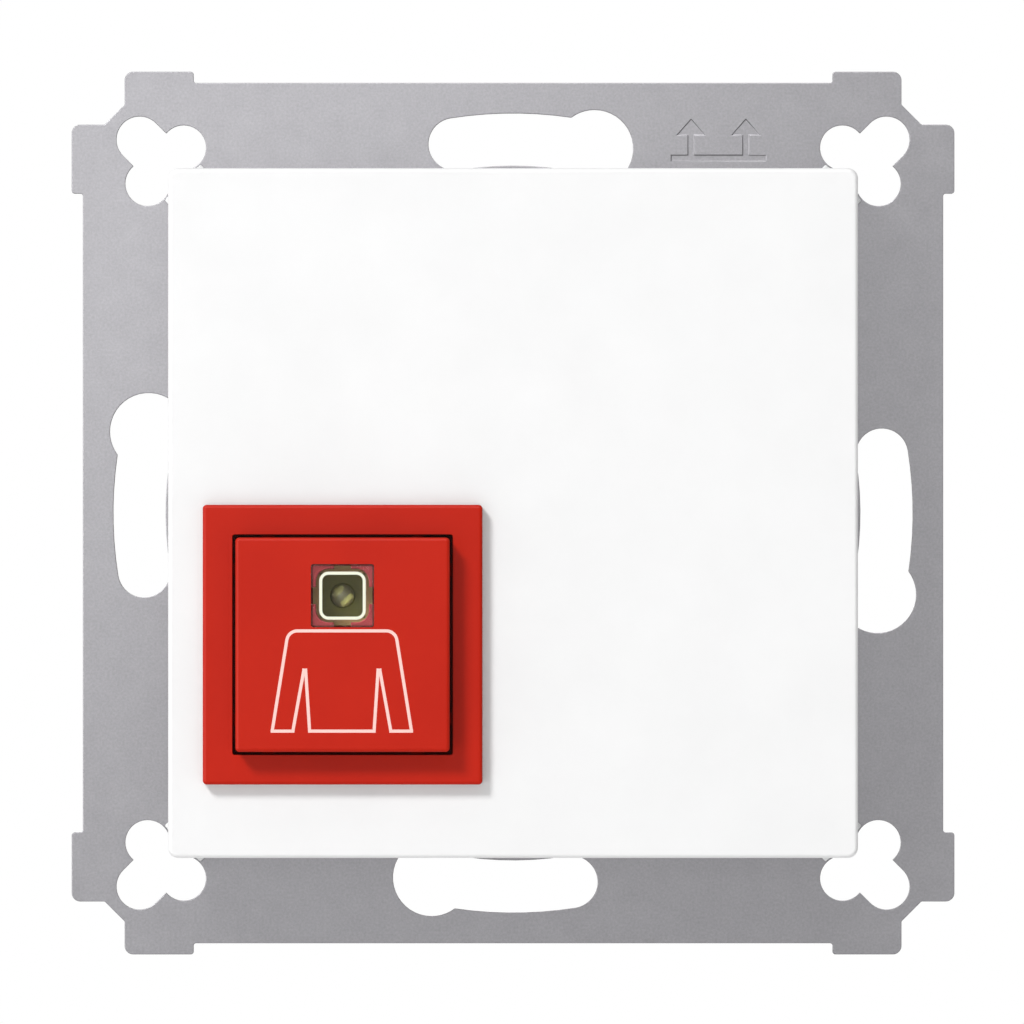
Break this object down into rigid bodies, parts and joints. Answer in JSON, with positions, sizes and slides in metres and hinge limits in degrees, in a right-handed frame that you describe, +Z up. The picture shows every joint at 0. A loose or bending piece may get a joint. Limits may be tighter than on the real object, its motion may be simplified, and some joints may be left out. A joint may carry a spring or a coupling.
{
  "type": "wall call button insert",
  "caption": "Flush-mounted call button insert: red push button with a lit window on a white cover plate, held by a steel mounting plate with a wired housing behind.",
  "frame": {"origin": "centre of the mounting plate, on its back face, which is the wall plane", "axes": "+X right, +Z up, +Y into the wall; the button faces -Y"},
  "size_m": [0.071, 0.0302, 0.071],
  "materials": {
    "galvanised_steel": "galvanised sheet, matt with a faint mottle",
    "white_matt_plastic": "matt moulding",
    "white_gloss_plastic": "smooth semi-gloss moulding",
    "red_plastic": "satin moulding",
    "white_inlay": "inlaid white",
    "clear_plastic": "clear acrylic",
    "olive_plastic": "matt moulding",
    "led_resin": "clear epoxy resin",
    "tinned_metal": "tin plated",
    "black_plastic": "matt moulding",
    "spring_steel": "drawn wire",
    "natural_plastic": "matt moulding",
    "circuit_board": "solder resist",
    "chip_black": "moulded resin",
    "capacitor_sleeve": "shrunk sleeve",
    "grey_plastic": "matt moulding",
    "terminal_plastic": "matt moulding",
    "terminal_brass": "plain brass"
  },
  "bodies": {
    "insert": {"mounting_plate": "galvanised_steel", "carrier_frame": "white_matt_plastic", "centre_plate": "white_gloss_plastic", "bezel": "red_plastic", "led_holder": "olive_plastic", "led_dome": "led_resin", "led_leads": "tinned_metal", "module_base": "black_plastic", "return_spring_left": "spring_steel", "return_spring_right": "spring_steel", "switch_base": "black_plastic", "switch_cover": "tinned_metal", "switch_spring": "spring_steel", "contact_dome": "spring_steel", "switch_legs": "tinned_metal", "main_board": "circuit_board", "control_chip": "chip_black", "chip_resistors": "chip_black", "buffer_capacitor": "capacitor_sleeve", "housing_screws": "galvanised_steel", "housing": "grey_plastic", "terminal_block": "terminal_plastic", "terminal_clamps": "terminal_brass", "terminal_screws": "tinned_metal", "terminal_tails": "tinned_metal"},
    "button": {"button_cap": "red_plastic", "figure_inlay": "white_inlay", "window_lens": "clear_plastic", "window_ring": "white_inlay", "lens_retainer": "red_plastic"},
    "plunger": {"switch_plunger": "natural_plastic"}
  },
  "joints": [
    {"name": "button_press", "type": "slide", "parent": "insert", "child": "button", "axis": [0, 1, 0], "range_m": [0, 0.001], "stiffness_N_per_m": 400, "deforming": ["return_spring_left", "return_spring_right"]},
    {"name": "plunger_slide", "type": "slide", "parent": "insert", "child": "plunger", "axis": [0, 1, 0], "range_m": [0, 0.001], "deforming": ["switch_spring", "contact_dome"]}
  ],
  "couplings": [
    {"joint": "plunger_slide", "follows": "button_press", "ratio": 1}
  ]
}
